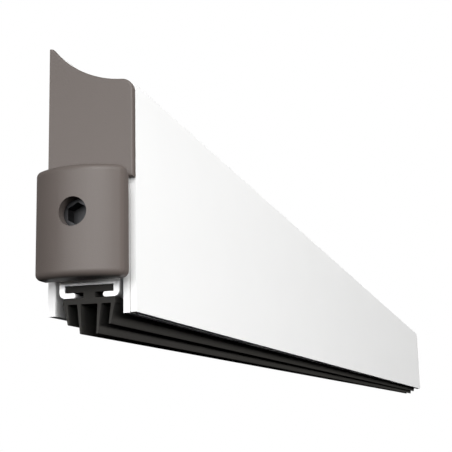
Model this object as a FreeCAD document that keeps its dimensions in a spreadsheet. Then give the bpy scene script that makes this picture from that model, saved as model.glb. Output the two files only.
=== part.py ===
import FreeCAD, Part
import os
import re

import Sketcher

# Automatic door bottom seal: a shallow aluminium housing is screwed to the foot of a door, and pressing
# the plunger at its hinge end drops a rubber gasket to the floor through a drive bar and three links.
# Places along are counted from the plunger end of the extrusions, places across from the cover's face
# and heights from the housing's lower edge. The part's origin is on the door face, at mid length, on
# the line of the fixing holes.

# Driving sizes in millimetres
SIZES = [
    # Housing
    ("profile_length", 500.0, "length of the extrusions"),
    ("housing_depth", 14.0, "door face to cover face"),
    ("fixing_height", 27.0, "fixing hole line above the lower edge"),
    ("back_wall", 1.2, "wall on the door"),
    ("front_wall", 1.0, "channel wall behind the cover, and the lip above it"),
    ("roof_height", 20.6, "underside of the channel roof"),
    ("roof_wall", 1.2, "channel roof"),
    ("cove_tip", 42.0, "top of the flange on the door"),
    ("tip_flat", 0.25, "flat on the flange's tip"),
    ("cove_foot", 34.95, "front end of the cove"),
    ("cove_radius", 16.0, "hollow of the cove"),
    ("cove_wall", 1.15, "cove at its front end"),
    ("cove_root", 3.05, "flange tip above the cove's inner corner"),
    ("lip_drop", 3.5, "front lip that the cover hangs on"),
    ("groove_place", 3.2, "snap groove in the roof from the cover's face"),
    ("groove_width", 1.2, "snap groove"),
    ("groove_depth", 0.5, "snap groove"),
    ("fixing_hole", 4.5, "fixing hole diameter"),
    ("outer_span", 440.0, "outer pair of fixing holes"),
    ("inner_span", 160.0, "inner pair of fixing holes"),
    # Cover
    ("cover_wall", 0.9, "cover plate"),
    ("cover_gap", 0.1, "cover to channel wall"),
    ("cover_lift", 0.1, "cover above the lower edge"),
    ("cover_edge", 0.5, "rounded top edge of the cover"),
    ("clip_wall", 0.9, "clip arms on the cover"),
    ("clip_gap", 0.2, "clip arms to the profile"),
    ("hook_rise", 1.8, "hook behind the front lip"),
    # End caps
    ("cap_wall", 1.0, "end cap plate"),
    ("cap_foot", 20.05, "lower edge of the plunger end's cap"),
    ("cap_rear_foot", 0.3, "lower edge of the other end's cap"),
    ("cap_tip", 41.6, "top of the caps"),
    ("cap_tip_flat", 0.75, "flat on top of the caps"),
    ("cap_rise", 0.5, "front of the caps above the cove"),
    ("cap_corner", 2.0, "rounded upper corner of the caps"),
    ("cap_inset", 0.25, "caps from the door face"),
    ("cap_edge", 0.35, "rounded edge of the caps"),
    ("plug_length", 8.0, "cap plug in the fixing chamber"),
    ("plug_gap", 0.1, "cap plug to its walls"),
    ("plug_height", 7.0, "cap plug"),
    # Plunger and its adjuster
    ("rod_height", 14.1, "axis of rod and plunger"),
    ("plunger_reach", 7.15, "plunger's face from the profile's end"),
    ("plunger_inset", 0.05, "plunger from the housing's faces"),
    ("plunger_depth", 4.4, "plunger's face to its rear"),
    ("plunger_sag", 2.5, "curve of the plunger's face"),
    ("plunger_foot", 4.7, "plunger's lower edge"),
    ("plunger_top", 21.1, "plunger's upper edge"),
    ("plunger_step", 19.8, "height of the step that passes under the cap"),
    ("plunger_lip", 3.8, "upper lip of the plunger, which stops on the cap"),
    ("plunger_corner", 1.2, "rounded upright edges of the plunger"),
    ("plunger_edge", 1.0, "rounded upper and lower edges of the plunger"),
    ("stem_diameter", 9.0, "plunger's stem"),
    ("stem_reach", 7.0, "plunger's face to the end of its stem"),
    ("key_hole", 4.3, "access hole for the key"),
    ("key_hole_depth", 2.0, "access hole for the key"),
    ("key_size", 3.0, "hex socket across flats"),
    ("key_depth", 2.0, "hex socket"),
    ("screw_head", 5.2, "adjuster head diameter"),
    ("screw_head_length", 3.2, "adjuster head"),
    ("screw_shank", 4.0, "adjuster thread diameter"),
    ("screw_length", 15.0, "adjuster overall"),
    ("retainer_wall", 1.5, "ring behind the adjuster's head"),
    ("running_gap", 0.05, "running clearance on radius"),
    ("press_gap", 0.01, "clearance of seated rings and pins on radius"),
    # Rod, spring and bar
    ("rod_front", 2.0, "rod from the profile's end"),
    ("rod_diameter", 5.0, "rod"),
    ("rod_rear", 52.0, "rod's rear end from the profile's end"),
    ("sleeve_diameter", 7.5, "threaded sleeve of the rod"),
    ("sleeve_length", 12.0, "threaded sleeve of the rod"),
    ("thread_depth", 11.5, "threaded bore in the sleeve"),
    ("fork_length", 8.0, "fork at the rod's rear end"),
    ("fork_gap", 0.05, "fork to bar, each side"),
    ("fork_pin", 2.0, "cross pin diameter"),
    ("washer_wall", 0.8, "spring washer"),
    ("spring_wire", 0.8, "spring wire"),
    ("spring_coil", 6.5, "mean diameter of the spring"),
    ("spring_turns", 5.0, "turns of the spring"),
    ("spring_gap", 0.05, "spring to its seats"),
    ("bar_wall", 2.5, "drive bar thickness"),
    ("bar_height", 5.6, "drive bar"),
    ("bar_tenon", 3.6, "front end of the bar in the fork"),
    ("bar_shoulder", 54.0, "full height of the bar begins"),
    ("bar_end", 8.0, "bar beyond its last pin"),
    # Guide blocks
    ("guide_length", 12.0, "guide blocks"),
    ("guide_front", 31.0, "front guide block"),
    ("guide_ahead", 45.0, "middle and rear guide blocks ahead of their links' top pins"),
    ("guide_gap", 0.1, "guide blocks to the channel and the bar"),
    ("guide_foot", 11.0, "lower end of the bar's guide blocks"),
    ("guide_front_foot", 8.0, "lower end of the rod's guide block"),
    ("guide_shoulder", 15.0, "full width of the bar's guide blocks begins"),
    ("guide_stem", 6.4, "narrow part of the bar's guide blocks"),
    ("guide_screw", 2.9, "guide screw diameter"),
    ("guide_screw_place", 10.3, "guide screws from the cover's face"),
    ("guide_screw_depth", 4.4, "guide screw below its head"),
    ("guide_screw_head", 4.6, "guide screw head diameter"),
    ("guide_screw_head_wall", 1.6, "guide screw head"),
    ("screw_gap", 0.1, "screws in their holes on radius"),
    # Links and brackets
    ("first_station", 70.0, "first link's top pin"),
    ("last_station_inset", 100.0, "last link's top pin from the rear end"),
    ("link_run", 42.7, "top pin to bottom pin along, seal raised"),
    ("link_drop", 6.0, "top pin to bottom pin down, seal raised"),
    ("top_pin_height", 15.4, "top pins"),
    ("link_pin", 2.5, "link pin diameter"),
    ("pin_length", 6.2, "link pins"),
    ("link_end", 2.4, "round ends of the links"),
    ("link_wall", 1.2, "link cheeks"),
    ("link_gap", 0.3, "link cheeks to the bar"),
    ("link_web", 0.8, "web that joins the cheeks"),
    ("link_web_start", 12.0, "web from the top pin"),
    ("link_web_length", 18.0, "web that joins the cheeks"),
    ("link_slack", 0.5, "slot at the bottom pin"),
    ("link_slot_gap", 0.1, "bottom pin in its slot on radius"),
    ("bracket_length", 18.0, "bracket foot"),
    ("bracket_width", 6.2, "bracket foot"),
    ("bracket_wall", 1.0, "bracket foot"),
    ("rivet_spread", 12.5, "rivet to rivet on a bracket"),
    ("rivet_shank", 2.4, "rivet diameter"),
    ("rivet_head", 4.2, "rivet head diameter"),
    ("rivet_head_wall", 0.8, "rivet head"),
    # Carrier and gasket
    ("carrier_width", 9.5, "carrier profile"),
    ("carrier_foot", 2.57, "lower face of the carrier"),
    ("carrier_lip", 0.75, "lips that hold the gasket"),
    ("carrier_slot", 4.4, "slot between the lips"),
    ("carrier_side", 0.9, "walls round the gasket's head"),
    ("web_foot", 4.41, "underside of the carrier's web"),
    ("web_wall", 1.0, "carrier's web"),
    ("carrier_top", 14.4, "upper end of the carrier's walls"),
    ("carrier_wall", 1.0, "upper walls of the carrier"),
    ("carrier_edge", 0.85, "rounded lower edges of the carrier"),
    ("lip_edge", 0.35, "rounded ends of the lips"),
    ("notch_length", 46.0, "carrier's walls cut back at the plunger end"),
    ("notch_foot", 6.5, "what is left of the walls there"),
    ("carrier_end_gap", 0.2, "carrier from the rear cap"),
    ("head_width", 7.45, "gasket's head"),
    ("head_gap", 0.04, "gasket's head in the carrier"),
    ("neck_width", 1.8, "gasket's neck"),
    ("flange_width", 8.25, "gasket's flange"),
    ("flange_wall", 0.9, "gasket's flange"),
    ("flange_gap", 0.06, "gasket's flange under the carrier"),
    ("fin_root", 0.55, "gasket's fins at the root"),
    ("fin_tip", 0.35, "gasket's fins at the tip"),
    ("outer_fin_root", 3.75, "outer fins from the gasket's middle, at the root"),
    ("outer_fin_tip", 3.25, "outer fins from the gasket's middle, at the tip"),
    ("outer_fin_drop", 3.05, "outer fins"),
    ("inner_fin_root", 1.62, "inner fins from the gasket's middle, at the root"),
    ("inner_fin_tip", 1.3, "inner fins from the gasket's middle, at the tip"),
    ("inner_fin_drop", 4.4, "inner fins"),
]

# Places that follow from the sizes
PLACES = {
    "back_inner": "housing_depth - back_wall",
    "front_outer": "cover_wall + cover_gap",
    "front_inner": "front_outer + front_wall",
    "channel_middle": "(front_inner + back_inner) / 2",
    "rod_line": "housing_depth / 2",
    "roof_top": "roof_height + roof_wall",
    "lip_foot": "cove_foot - lip_drop",
    "groove_foot": "roof_top - groove_depth",
    "hook_arm_top": "lip_foot - clip_gap",
    "hook_front": "front_inner + clip_gap",
    "snap_arm_foot": "roof_top + clip_gap",
    "plug_foot": "snap_arm_foot + clip_wall + plug_gap",
    "plunger_face": "-plunger_reach",
    "plunger_half": "housing_depth / 2 - plunger_inset",
    "plunger_radius": "(plunger_half * plunger_half + plunger_sag * plunger_sag) / (2 * plunger_sag)",
    "head_face": "key_hole_depth + running_gap",
    "head_rear": "head_face + screw_head_length",
    "head_bore": "screw_head + 2 * running_gap",
    "fork_pin_place": "rod_rear - fork_length / 2",
    "spring_start": "rod_front + sleeve_length + washer_wall + spring_gap + spring_wire / 2",
    "spring_height": "guide_front - spring_gap - spring_wire / 2 - spring_start",
    "bar_front": "rod_rear - fork_length + fork_gap",
    "last_station": "profile_length - last_station_inset",
    "middle_station": "(first_station + last_station) / 2",
    "guide_middle": "middle_station - guide_ahead",
    "guide_rear": "last_station - guide_ahead",
    "bar_rear": "last_station + bar_end",
    "bar_foot": "top_pin_height - bar_height / 2",
    "bar_top": "top_pin_height + bar_height / 2",
    "link_length": "sqrt(link_run * link_run + link_drop * link_drop)",
    "link_inner": "bar_wall + 2 * link_gap",
    "link_width": "link_inner + 2 * link_wall",
    "link_web_top": "link_web - link_end",
    "bottom_pin_height": "top_pin_height - link_drop",
    "web_top": "web_foot + web_wall",
    "bracket_pin": "bottom_pin_height - web_top",
    "lip_top": "carrier_foot + carrier_lip",
    "carrier_length": "profile_length - carrier_end_gap",
    "flange_top": "carrier_foot - flange_gap",
    "flange_foot": "flange_top - flange_wall",
}
WORD = re.compile(r"\b[a-z][a-z_0-9]+\b")
CELLS = {alias for alias, size, note in SIZES}
PIECES = []

doc = FreeCAD.newDocument("door_bottom_seal")
sheet = doc.addObject("Spreadsheet::Sheet", "Sizes")
for row, (alias, size, note) in enumerate(SIZES, start=1):
    sheet.set("A%d" % row, note)
    sheet.set("B%d" % row, str(size))
    sheet.setAlias("B%d" % row, alias)
doc.recompute()


def spell_word(word):
    """One word of an expression in the sheet's own cells."""
    if word in PLACES:
        return "(%s)" % spell(PLACES[word])
    return "Sizes." + word if word in CELLS else word


def spell(text):
    """An expression in the sheet's own cells."""
    return WORD.sub(lambda match: spell_word(match.group()), text)


def number(text):
    """What an expression comes to, for the first guess of a drawing."""
    result = sheet.evalExpression(spell(text))
    return float(getattr(result, "Value", result))


def bind(thing, path, text):
    """Tie one property to the sheet."""
    thing.setExpression(path, spell(text))


def place(piece, along="0", across="0", up="0"):
    """Put a piece's own origin at a place of the housing."""
    bind(piece, "Placement.Base.x", "%s - profile_length / 2" % along)
    bind(piece, "Placement.Base.y", "%s - housing_depth" % across)
    bind(piece, "Placement.Base.z", "%s - fixing_height" % up)


def keep(piece, name):
    """Name a finished sub-part."""
    piece.Label = name
    PIECES.append(piece)
    return piece


def new_body(name):
    return keep(doc.addObject("PartDesign::Body", name), name)


def new_sketch(body, name, role, offset="0"):
    """An empty sketch on one of the body's own planes, moved along the plane's normal."""
    drawing = body.newObject("Sketcher::SketchObject", "%s_%s" % (body.Name, name))
    plane = next(feature for feature in body.Origin.OriginFeatures if feature.Role == role)
    drawing.AttachmentSupport = [(plane, "")]
    drawing.MapMode = "FlatFace"
    bind(drawing, "AttachmentOffset.Base.z", offset)
    return drawing


def dimension(drawing, text, kind, *where):
    """Add one dimension that follows the sheet."""
    made = drawing.addConstraint(Sketcher.Constraint(kind, *where, number(text)))
    bind(drawing, "Constraints[%d]" % made, text)


def fix_point(drawing, edge, end, corner):
    """Hold one end (1 start, 2 end, 3 centre) of an edge at a corner."""
    dimension(drawing, corner[0], "DistanceX", -1, 1, edge, end)
    dimension(drawing, corner[1], "DistanceY", -1, 1, edge, end)


def arc_between(start, end, radius):
    """An arc that bulges to the right of its travel, or to the left where the radius is negative."""
    chord = end - start
    reach = abs(radius)
    height = max(reach * reach - chord.Length * chord.Length / 4, 0) ** 0.5
    left = FreeCAD.Vector(-chord.y, chord.x, 0).normalize()
    centre = (start + end) / 2 + left * (height if radius > 0 else -height)
    first, last = (start, end) if radius > 0 else (end, start)
    circle = Part.Circle(centre, FreeCAD.Vector(0, 0, 1), reach)
    return Part.ArcOfCircle(circle, circle.parameter(first), circle.parameter(last))


def outline(drawing, corners, arcs=None):
    """Close a loop through corners. Arcs maps the edge that leaves a corner to (radius, side)."""
    arcs = arcs or {}
    base = drawing.GeometryCount
    points = [FreeCAD.Vector(number(across), number(up), 0) for across, up in corners]
    count = len(points)
    ends = []
    for index, start in enumerate(points):
        end = points[(index + 1) % count]
        if index in arcs:
            radius, side = arcs[index]
            drawing.addGeometry(arc_between(start, end, side * number(radius)), False)
            ends.append((1, 2) if side > 0 else (2, 1))
        else:
            drawing.addGeometry(Part.LineSegment(start, end), False)
            ends.append((1, 2))
    for index, corner in enumerate(corners):
        after = (index + 1) % count
        joint = Sketcher.Constraint("Coincident", base + index, ends[index][1], base + after, ends[after][0])
        drawing.addConstraint(joint)
        fix_point(drawing, base + index, ends[index][0], corner)
    for index, (radius, side) in arcs.items():
        dimension(drawing, radius, "Radius", base + index)


def circle(drawing, diameter, centre=("0", "0")):
    """A circle held at its centre."""
    middle = FreeCAD.Vector(number(centre[0]), number(centre[1]), 0)
    made = drawing.addGeometry(Part.Circle(middle, FreeCAD.Vector(0, 0, 1), number(diameter) / 2), False)
    dimension(drawing, diameter, "Diameter", made)
    fix_point(drawing, made, 3, centre)


def rectangle(drawing, low, high):
    outline(drawing, [low, (high[0], low[1]), high, (low[0], high[1])])


def slot(drawing, first, last, radius):
    """A straight slot along the sketch's first axis between two centres."""
    base = drawing.GeometryCount
    reach = number(radius)
    left = FreeCAD.Vector(number(first), 0, 0)
    right = FreeCAD.Vector(number(last), 0, 0)
    side = FreeCAD.Vector(0, reach, 0)
    axis = FreeCAD.Vector(0, 0, 1)
    quarter = Part.Circle(right, axis, reach).parameter(right + side)
    drawing.addGeometry(Part.ArcOfCircle(Part.Circle(right, axis, reach), -quarter, quarter), False)
    drawing.addGeometry(Part.LineSegment(right + side, left + side), False)
    drawing.addGeometry(Part.ArcOfCircle(Part.Circle(left, axis, reach), quarter, 3 * quarter), False)
    drawing.addGeometry(Part.LineSegment(left - side, right - side), False)
    for index in range(4):
        after = (index + 1) % 4
        drawing.addConstraint(Sketcher.Constraint("Tangent", base + index, 2, base + after, 1))
    fix_point(drawing, base, 3, (last, "0"))
    fix_point(drawing, base + 2, 3, (first, "0"))
    dimension(drawing, radius, "Radius", base)


def feature(body, kind, drawing, length, reverse=False, symmetric=False):
    """Pad or pocket one sketch."""
    step = body.newObject("PartDesign::" + kind, "%s_%s" % (drawing.Name, kind.lower()))
    step.Profile = drawing
    step.Reversed = reverse
    if symmetric:
        step.SideType = "Symmetric"
    bind(step, "Length", length)
    doc.recompute()
    return step


def pad(body, drawing, length, **way):
    return feature(body, "Pad", drawing, length, **way)


def pocket(body, drawing, length, **way):
    """Cut a sketch out of its body, and make sure that something was cut."""
    before = body.Shape.Volume
    step = feature(body, "Pocket", drawing, length, **way)
    if body.Shape.Volume >= before:
        raise ValueError("%s cuts nothing" % step.Name)
    return step


def edge_step(body, kind, chosen):
    """A fillet or chamfer on the edges that a test picks out."""
    base = body.Tip
    names = ["Edge%d" % (index + 1) for index, edge in enumerate(base.Shape.Edges) if chosen(edge)]
    step = body.newObject("PartDesign::" + kind, "%s_%s" % (body.Name, kind.lower()))
    step.Base = (base, names)
    return step


def round_edges(body, radius, chosen):
    bind(edge_step(body, "Fillet", chosen), "Radius", radius)
    doc.recompute()


def bevel_edges(body, size, chosen):
    bind(edge_step(body, "Chamfer", chosen), "Size", size)
    doc.recompute()


def lies_at(edge, axis, height):
    """True where the whole edge lies in one plane across an axis."""
    box = edge.BoundBox
    low, high = {"x": (box.XMin, box.XMax), "y": (box.YMin, box.YMax), "z": (box.ZMin, box.ZMax)}[axis]
    return abs(low - height) < 1e-3 and abs(high - height) < 1e-3


def make_base_profile():
    body = new_body("base_profile")
    section = new_sketch(body, "section", "YZ_Plane")
    groove_back = "groove_place + groove_width"
    corners = [
        ("housing_depth", "0"),
        ("housing_depth", "cove_tip"),
        ("housing_depth - tip_flat", "cove_tip"),
        ("front_outer", "cove_foot"),
        ("front_outer", "lip_foot"),
        ("front_inner", "lip_foot"),
        ("front_inner", "cove_foot - cove_wall"),
        ("back_inner", "cove_tip - cove_root"),
        ("back_inner", "roof_top"),
        (groove_back, "roof_top"),
        (groove_back, "groove_foot"),
        ("groove_place", "groove_foot"),
        ("groove_place", "roof_top"),
        ("front_outer", "roof_top"),
        ("front_outer", "0"),
        ("front_inner", "0"),
        ("front_inner", "roof_height"),
        ("back_inner", "roof_height"),
        ("back_inner", "0"),
    ]
    outline(section, corners, {2: ("cove_radius", -1), 6: ("cove_radius + cove_wall", 1)})
    pad(body, section, "profile_length")
    holes = new_sketch(body, "fixing_holes", "XZ_Plane", "-housing_depth")
    for span in ("outer_span", "inner_span"):
        for side in ("-", "+"):
            circle(holes, "fixing_hole", ("(profile_length %s %s) / 2" % (side, span), "fixing_height"))
    pocket(body, holes, "4 * back_wall", symmetric=True)
    screws = new_sketch(body, "screw_holes", "XY_Plane", "roof_top")
    for guide in GUIDES:
        circle(screws, "guide_screw + 2 * screw_gap", (guide + " + guide_length / 2", "guide_screw_place"))
    pocket(body, screws, "roof_wall")
    place(body)


def make_front_cover():
    body = new_body("front_cover")
    section = new_sketch(body, "section", "YZ_Plane")
    bead_back = "groove_place + groove_width - clip_gap"
    bead_front = "groove_place + clip_gap"
    corners = [
        ("0", "cover_lift"),
        ("cover_wall", "cover_lift"),
        ("cover_wall", "snap_arm_foot"),
        (bead_front, "snap_arm_foot"),
        (bead_front, "groove_foot + clip_gap"),
        (bead_back, "groove_foot + clip_gap"),
        (bead_back, "snap_arm_foot + clip_wall"),
        ("cover_wall", "snap_arm_foot + clip_wall"),
        ("cover_wall", "hook_arm_top - clip_wall"),
        ("hook_front + clip_wall", "hook_arm_top - clip_wall"),
        ("hook_front + clip_wall", "hook_arm_top + hook_rise"),
        ("hook_front", "hook_arm_top + hook_rise"),
        ("hook_front", "hook_arm_top"),
        ("cover_wall", "hook_arm_top"),
        ("cover_wall", "cove_foot"),
        ("0", "cove_foot"),
    ]
    outline(section, corners)
    pad(body, section, "profile_length")
    top = number("cove_foot")
    round_edges(body, "cover_edge", lambda edge: lies_at(edge, "z", top) and lies_at(edge, "y", 0))
    place(body)


def make_end_cap(name, along, foot, inward):
    """A cap plate that follows the housing's outline, with a plug in the fixing chamber."""
    body = new_body(name)
    plate = new_sketch(body, "plate", "YZ_Plane")
    corners = [
        ("0", foot),
        ("housing_depth - cap_inset", foot),
        ("housing_depth - cap_inset", "cap_tip"),
        ("housing_depth - cap_tip_flat", "cap_tip"),
        ("0", "cove_foot + cap_rise"),
    ]
    outline(plate, corners, {3: ("cove_radius", -1)})
    pad(body, plate, "cap_wall", reverse=inward > 0)
    plug = new_sketch(body, "plug", "YZ_Plane", "%d * cap_wall / 2" % -inward)
    rectangle(plug, ("hook_front + clip_wall + plug_gap", "plug_foot"),
              ("back_inner - plug_gap", "plug_foot + plug_height"))
    pad(body, plug, "plug_length + cap_wall / 2", reverse=inward < 0)
    top = number("cove_foot + cap_rise")
    round_edges(body, "cap_corner", lambda edge: lies_at(edge, "y", 0) and lies_at(edge, "z", top))
    face = -inward * number("cap_wall")
    back = number("housing_depth - cap_inset")
    round_edges(body, "cap_edge",
                lambda edge: lies_at(edge, "x", face) and not lies_at(edge, "y", back)
                and not lies_at(edge, "z", number("cap_tip")))
    place(body, along)


def make_guide_block(name, along):
    """A block that hangs from the channel's roof and lets the drive bar slide."""
    body = new_body(name)
    section = new_sketch(body, "section", "YZ_Plane")
    stem_front = "rod_line - guide_stem / 2"
    stem_back = "rod_line + guide_stem / 2"
    corners = [
        (stem_front, "guide_foot"),
        (stem_back, "guide_foot"),
        (stem_back, "guide_shoulder"),
        ("back_inner - guide_gap", "guide_shoulder"),
        ("back_inner - guide_gap", "roof_height"),
        ("front_inner + guide_gap", "roof_height"),
        ("front_inner + guide_gap", "guide_shoulder"),
        (stem_front, "guide_shoulder"),
    ]
    outline(section, corners)
    rectangle(section, ("rod_line - bar_wall / 2 - guide_gap", "bar_foot - guide_gap"),
              ("rod_line + bar_wall / 2 + guide_gap", "bar_top + guide_gap"))
    pad(body, section, "guide_length")
    drill_guide_block(body)
    place(body, along)


def make_guide_block_front():
    """The block that carries the rod and stops the spring."""
    body = new_body("guide_block_front")
    section = new_sketch(body, "section", "YZ_Plane")
    rectangle(section, ("front_inner + guide_gap", "guide_front_foot"),
              ("back_inner - guide_gap", "roof_height"))
    circle(section, "rod_diameter + 2 * running_gap", ("rod_line", "rod_height"))
    pad(body, section, "guide_length")
    drill_guide_block(body)
    place(body, "guide_front")


def drill_guide_block(body):
    """The hole for the screw that comes through the roof."""
    hole = new_sketch(body, "screw_hole", "XY_Plane", "roof_height")
    circle(hole, "guide_screw + 2 * press_gap", ("guide_length / 2", "guide_screw_place"))
    pocket(body, hole, "guide_screw_depth - roof_wall + screw_gap")


def new_cylinder(name, diameter, length):
    solid = doc.addObject("Part::Cylinder", name)
    bind(solid, "Radius", "(%s) / 2" % diameter)
    bind(solid, "Height", length)
    return solid


def new_headed_pin(name, shank, shank_length, head, head_wall):
    """A shank below its own origin and a head above it."""
    stalk = new_cylinder(name + "_shank", shank, shank_length)
    bind(stalk, "Placement.Base.z", "-(%s)" % shank_length)
    cap = new_cylinder(name + "_head", head, head_wall)
    pin = doc.addObject("Part::Fuse", name)
    pin.Base = stalk
    pin.Tool = cap
    return pin


def make_group(name, members):
    """Like fasteners that share one node."""
    group = doc.addObject("Part::Compound", name)
    group.Links = members
    keep(group, name)


def make_guide_block_screws():
    screws = []
    for guide in GUIDES:
        screw = new_headed_pin(guide + "_screw", "guide_screw", "guide_screw_depth", "guide_screw_head",
                               "guide_screw_head_wall")
        place(screw, guide + " + guide_length / 2", "guide_screw_place", "roof_top")
        screws.append(screw)
    make_group("guide_block_screws", screws)


def make_cross_pins(name, diameter, length, seats):
    """Plain pins across the housing, each centred on a seat (along, up)."""
    pins = []
    for index, (along, up) in enumerate(seats):
        pin = new_cylinder("%s_%d" % (name, index + 1), diameter, length)
        pin.Placement.Rotation = FreeCAD.Rotation(FreeCAD.Vector(1, 0, 0), -90)
        place(pin, along, "rod_line - (%s) / 2" % length, up)
        pins.append(pin)
    make_group(name, pins)


def make_plunger():
    body = new_body("plunger")
    face = new_sketch(body, "face", "XY_Plane", "plunger_foot")
    corners = [
        ("plunger_sag", "-plunger_half"),
        ("plunger_depth", "-plunger_half"),
        ("plunger_depth", "plunger_half"),
        ("plunger_sag", "plunger_half"),
    ]
    outline(face, corners, {3: ("plunger_radius", 1)})
    pad(body, face, "plunger_top - plunger_foot")
    sides = number("plunger_sag") + 1e-3
    rear = number("plunger_depth") - 1e-3
    round_edges(body, "plunger_corner",
                lambda edge: edge.BoundBox.XMax < sides and edge.BoundBox.ZLength > rear)
    round_edges(body, "plunger_edge",
                lambda edge: edge.BoundBox.XMin < rear and edge.BoundBox.ZLength < 1e-3)
    step = new_sketch(body, "step", "XZ_Plane")
    rectangle(step, ("plunger_lip", "plunger_step"), ("2 * plunger_depth", "2 * plunger_top"))
    pocket(body, step, "4 * plunger_half", symmetric=True)
    stem = new_sketch(body, "stem", "YZ_Plane", "plunger_depth / 2")
    circle(stem, "stem_diameter", ("0", "rod_height"))
    pad(body, stem, "stem_reach - plunger_depth / 2")
    key_hole = new_sketch(body, "key_hole", "YZ_Plane")
    circle(key_hole, "key_hole", ("0", "rod_height"))
    pocket(body, key_hole, "plunger_depth", reverse=True)
    head_bore = new_sketch(body, "head_bore", "YZ_Plane", "key_hole_depth")
    circle(head_bore, "head_bore", ("0", "rod_height"))
    pocket(body, head_bore, "stem_reach", reverse=True)
    place(body, "plunger_face", "rod_line")


def make_adjuster_screw():
    body = new_body("adjuster_screw")
    head = new_sketch(body, "head", "YZ_Plane")
    circle(head, "screw_head")
    pad(body, head, "screw_head_length")
    shank = new_sketch(body, "shank", "YZ_Plane")
    circle(shank, "screw_shank")
    pad(body, shank, "screw_length")
    socket = new_sketch(body, "socket", "YZ_Plane")
    flat = "key_size / 2"
    corner = "key_size / sqrt(3)"
    hexagon = [
        ("0", corner),
        ("-" + flat, corner + " / 2"),
        ("-" + flat, "-%s / 2" % corner),
        ("0", "-" + corner),
        (flat, "-%s / 2" % corner),
        (flat, corner + " / 2"),
    ]
    outline(socket, hexagon)
    pocket(body, socket, "key_depth", reverse=True)
    place(body, "plunger_face + head_face", "rod_line", "rod_height")


def make_ring(name, outer, inner, wall, along):
    """A flat ring round the rod's axis."""
    body = new_body(name)
    section = new_sketch(body, "section", "YZ_Plane")
    circle(section, outer)
    circle(section, inner)
    pad(body, section, wall)
    place(body, along, "rod_line", "rod_height")


def make_push_rod():
    body = new_body("push_rod")
    sleeve = new_sketch(body, "sleeve", "YZ_Plane")
    circle(sleeve, "sleeve_diameter")
    pad(body, sleeve, "sleeve_length")
    rod = new_sketch(body, "rod", "YZ_Plane")
    circle(rod, "rod_diameter")
    pad(body, rod, "rod_rear - rod_front")
    thread = new_sketch(body, "thread", "YZ_Plane")
    circle(thread, "screw_shank + 2 * running_gap")
    pocket(body, thread, "thread_depth", reverse=True)
    fork = new_sketch(body, "fork", "XY_Plane")
    rectangle(fork, ("rod_rear - rod_front - fork_length", "-bar_wall / 2 - fork_gap"),
              ("rod_rear - rod_front + fork_length", "bar_wall / 2 + fork_gap"))
    pocket(body, fork, "2 * rod_diameter", symmetric=True)
    pin_hole = new_sketch(body, "pin_hole", "XZ_Plane")
    circle(pin_hole, "fork_pin + 2 * press_gap", ("fork_pin_place - rod_front", "0"))
    pocket(body, pin_hole, "2 * rod_diameter", symmetric=True)
    place(body, "rod_front", "rod_line", "rod_height")


def make_return_spring():
    body = new_body("return_spring")
    wire = new_sketch(body, "wire", "XZ_Plane")
    circle(wire, "spring_wire", ("0", "spring_coil / 2"))
    coil = body.newObject("PartDesign::AdditiveHelix", "return_spring_coil")
    coil.Profile = wire
    coil.ReferenceAxis = (wire, ["H_Axis"])
    coil.Mode = "height-turns-angle"
    bind(coil, "Height", "spring_height")
    bind(coil, "Turns", "spring_turns")
    place(body, "spring_start", "rod_line", "rod_height")


def make_drive_bar():
    body = new_body("drive_bar")
    side = new_sketch(body, "side", "XZ_Plane")
    tenon_foot = "rod_height - bar_tenon / 2"
    tenon_top = "rod_height + bar_tenon / 2"
    corners = [
        ("bar_front", tenon_foot),
        ("bar_shoulder", tenon_foot),
        ("bar_shoulder", "bar_foot"),
        ("bar_rear", "bar_foot"),
        ("bar_rear", "bar_top"),
        ("bar_shoulder", "bar_top"),
        ("bar_shoulder", tenon_top),
        ("bar_front", tenon_top),
    ]
    outline(side, corners)
    pad(body, side, "bar_wall", symmetric=True)
    holes = new_sketch(body, "holes", "XZ_Plane")
    circle(holes, "fork_pin + 2 * press_gap", ("fork_pin_place", "rod_height"))
    for station in STATIONS:
        circle(holes, "link_pin + 2 * press_gap", (station, "top_pin_height"))
    pocket(body, holes, "2 * bar_wall", symmetric=True)
    place(body, "0", "rod_line")


def make_link(name, station):
    """A link folded from sheet: two cheeks, a web below, a round hole above and a slot below."""
    body = new_body(name)
    side = new_sketch(body, "side", "XZ_Plane")
    slot(side, "0", "link_length", "link_end")
    pad(body, side, "link_width", symmetric=True)
    gap = new_sketch(body, "gap", "XZ_Plane")
    web_rear = "link_web_start + link_web_length"
    corners = [
        ("-2 * link_end", "-2 * link_end"),
        ("link_web_start", "-2 * link_end"),
        ("link_web_start", "link_web_top"),
        (web_rear, "link_web_top"),
        (web_rear, "-2 * link_end"),
        ("link_length + 2 * link_end", "-2 * link_end"),
        ("link_length + 2 * link_end", "2 * link_end"),
        ("-2 * link_end", "2 * link_end"),
    ]
    outline(gap, corners)
    pocket(body, gap, "link_inner", symmetric=True)
    holes = new_sketch(body, "holes", "XZ_Plane")
    circle(holes, "link_pin + 2 * running_gap")
    slot(holes, "link_length - link_slack", "link_length", "link_pin / 2 + link_slot_gap")
    pocket(body, holes, "2 * link_width", symmetric=True)
    body.Placement.Rotation = FreeCAD.Rotation(FreeCAD.Vector(0, 1, 0), number("atan2(link_drop; link_run)"))
    bind(body, "Placement.Rotation.Angle", "atan2(link_drop; link_run)")
    place(body, station, "rod_line", "top_pin_height")


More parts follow.
